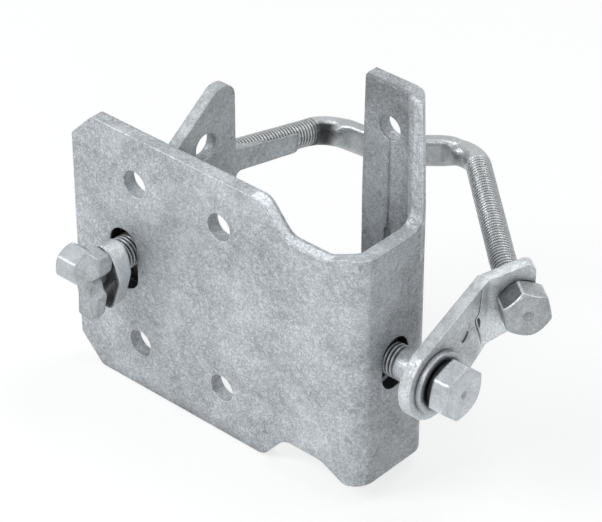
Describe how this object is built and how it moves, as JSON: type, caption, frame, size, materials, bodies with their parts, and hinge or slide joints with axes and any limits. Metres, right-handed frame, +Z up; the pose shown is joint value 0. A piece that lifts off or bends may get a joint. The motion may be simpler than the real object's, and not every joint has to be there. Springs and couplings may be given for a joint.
{
  "type": "pole top bracket",
  "caption": "Galvanised pole top bracket: bent plate with side flange and upright strip, welded ear, threaded bow round the pole and a cranked link.",
  "frame": {"origin": "centre of the four-hole pattern on the front face of the plate", "axes": "+Y from the front plate to the pole, +Z up along the strip, +X to the side flange and the link"},
  "size_m": [0.2256, 0.1842, 0.1951],
  "materials": {
    "sheet": "hot-dip galvanised, matte",
    "rod": "hot-dip galvanised, matte",
    "weld": "galvanised weld bead",
    "fastener": "galvanised, smooth",
    "forging": "galvanised forging"
  },
  "bodies": {
    "root": {"bracket_body": "sheet", "ear_plate": "sheet", "ear_weld_right": "weld", "ear_weld_left": "weld", "bow": "rod", "bow_weld": "weld", "bow_cap_nut": "fastener", "link_plate": "sheet", "link_bolt": "fastener", "link_washer": "fastener", "link_spring_washer": "fastener", "flange_washer": "fastener", "flange_nut": "fastener", "clamp_stud": "forging", "clamp_collar": "forging", "clamp_back_washer": "fastener", "clamp_back_nut": "fastener"}
  },
  "joints": []
}
